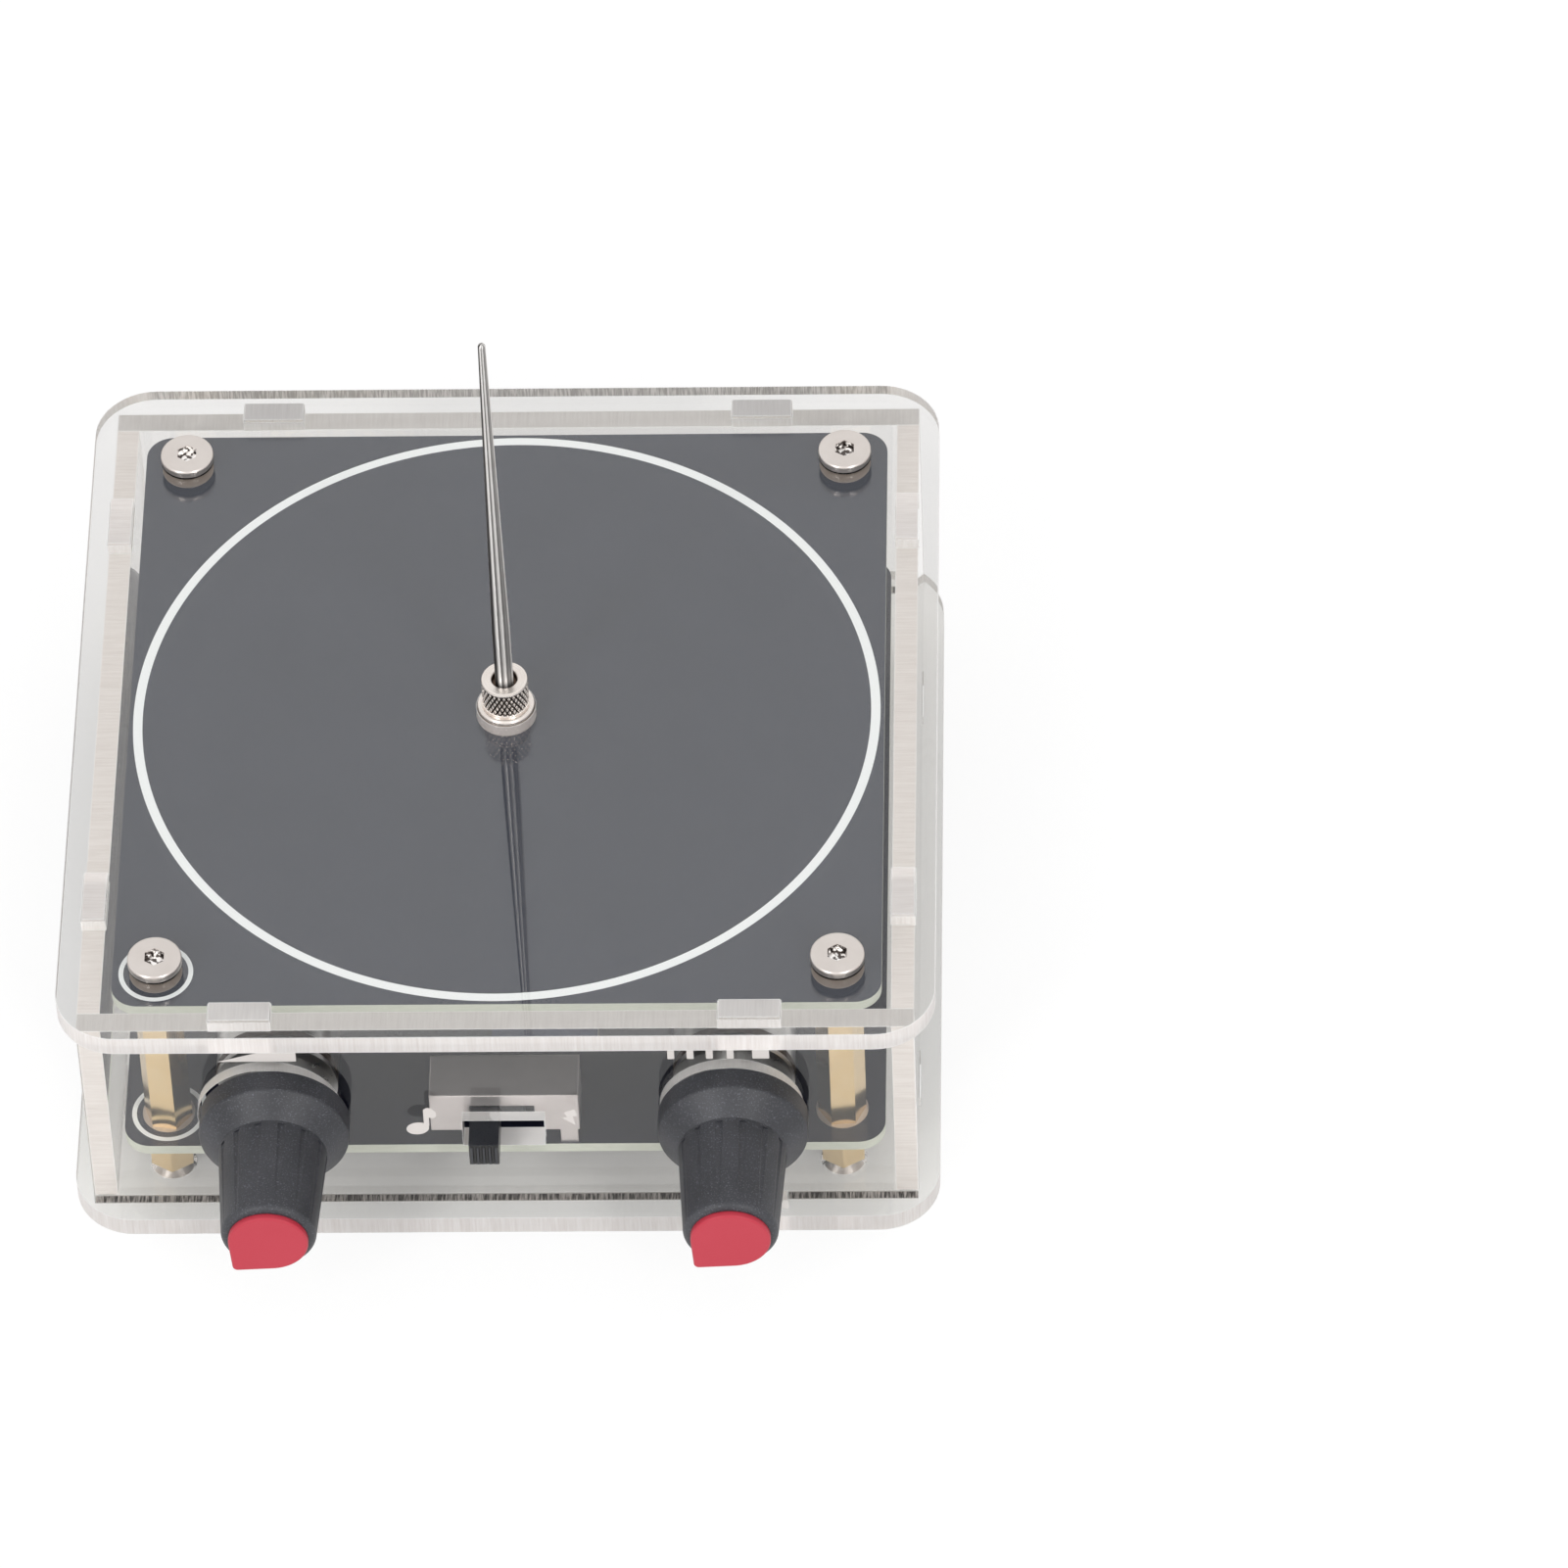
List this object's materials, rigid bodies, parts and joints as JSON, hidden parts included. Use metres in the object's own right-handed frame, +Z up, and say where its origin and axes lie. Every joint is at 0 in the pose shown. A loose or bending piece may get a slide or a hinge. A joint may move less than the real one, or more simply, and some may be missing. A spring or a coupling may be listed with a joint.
{
  "type": "desktop resonant transformer",
  "caption": "Clear acrylic box with stacked black circuit boards, an upright discharge needle on its lid, and knobs and a slide switch at its front.",
  "frame": {"origin": "middle of the bottom plate's underside, which the object stands on", "axes": "+X to the right and +Y to the back, seen from the knobs; +Z up along the needle"},
  "size_m": [0.114, 0.1326, 0.11],
  "materials": {
    "clear_acrylic": "clear, polished",
    "black_board": "gloss solder mask",
    "copper": "satin",
    "tin": "bright",
    "nickel": "plated, satin",
    "needle_steel": "polished",
    "brass": "turned",
    "zinc": "plated",
    "wafer_brown": "pressed",
    "shaft_aluminium": "turned",
    "knob_black": "moulded, satin",
    "cap_red": "moulded",
    "shell_steel": "plated sheet",
    "black_plastic": "moulded",
    "sink_black": "black anodised",
    "package_black": "moulded",
    "sleeve_black": "shrink sleeve",
    "film_red": "dipped",
    "core_yellow": "painted",
    "core_green": "painted",
    "enamel_wire": "enamelled",
    "module_blue": "solder mask",
    "resistor_tan": "lacquered"
  },
  "bodies": {
    "case": {"bottom_plate": "clear_acrylic", "top_plate": "clear_acrylic", "front_wall": "clear_acrylic", "back_wall": "clear_acrylic", "left_wall": "clear_acrylic", "right_wall": "clear_acrylic", "driver_board": "black_board", "coil_board": "black_board", "coil_pads": "tin", "driver_pads": "tin", "primary_winding": "copper", "secondary_winding": "copper", "top_screws": "nickel", "bottom_screws": "nickel", "short_standoffs": "brass", "tall_standoffs": "brass", "needle_socket": "nickel", "socket_nut": "brass", "switch_shell": "shell_steel", "switch_base": "black_plastic", "switch_pins": "tin", "inlet_body": "black_plastic", "inlet_pin": "nickel", "inlet_tabs": "tin", "heat_sink": "sink_black", "power_transistors": "package_black", "transistor_screws": "nickel", "regulator": "package_black", "bulk_capacitors": "sleeve_black", "film_capacitors": "film_red", "choke_core": "core_yellow", "choke_winding": "enamel_wire", "feedback_core": "core_green", "feedback_winding": "enamel_wire", "control_chips": "package_black", "chip_legs": "tin", "receiver_board": "module_blue", "receiver_shield": "shell_steel", "resistors": "resistor_tan", "power_pot_bushing": "zinc", "power_pot_wafer": "wafer_brown", "power_pot_case": "zinc", "power_pot_pins": "tin", "frequency_pot_bushing": "zinc", "frequency_pot_wafer": "wafer_brown", "frequency_pot_case": "zinc", "frequency_pot_pins": "tin"},
    "power_control": {"power_pot_shaft": "shaft_aluminium", "power_knob": "knob_black", "power_knob_cap": "cap_red"},
    "frequency_control": {"frequency_pot_shaft": "shaft_aluminium", "frequency_knob": "knob_black", "frequency_knob_cap": "cap_red"},
    "mode_slider": {"switch_lever": "black_plastic"},
    "nut": {"thumb_nut": "nickel"},
    "discharge_needle": {"needle": "needle_steel"}
  },
  "joints": [
    {"name": "power_knob_turn", "type": "hinge", "parent": "case", "child": "power_control", "pos_m": [-0.0294, -0.05475, 0.021], "axis": [0, 1, 0], "range_deg": [0, 300]},
    {"name": "frequency_knob_turn", "type": "hinge", "parent": "case", "child": "frequency_control", "pos_m": [0.0304, -0.05475, 0.021], "axis": [0, 1, 0], "range_deg": [0, 300]},
    {"name": "mode_slide", "type": "slide", "parent": "case", "child": "mode_slider", "axis": [1, 0, 0], "range_m": [0, 0.0044]},
    {"name": "thumb_nut_turn", "type": "hinge", "parent": "case", "child": "nut", "pos_m": [0, 0, 0.041], "axis": [0, 0, 1], "continuous": true},
    {"name": "needle_lift", "type": "slide", "parent": "case", "child": "discharge_needle", "axis": [0, 0, 1], "range_m": [0, 0.011]}
  ]
}
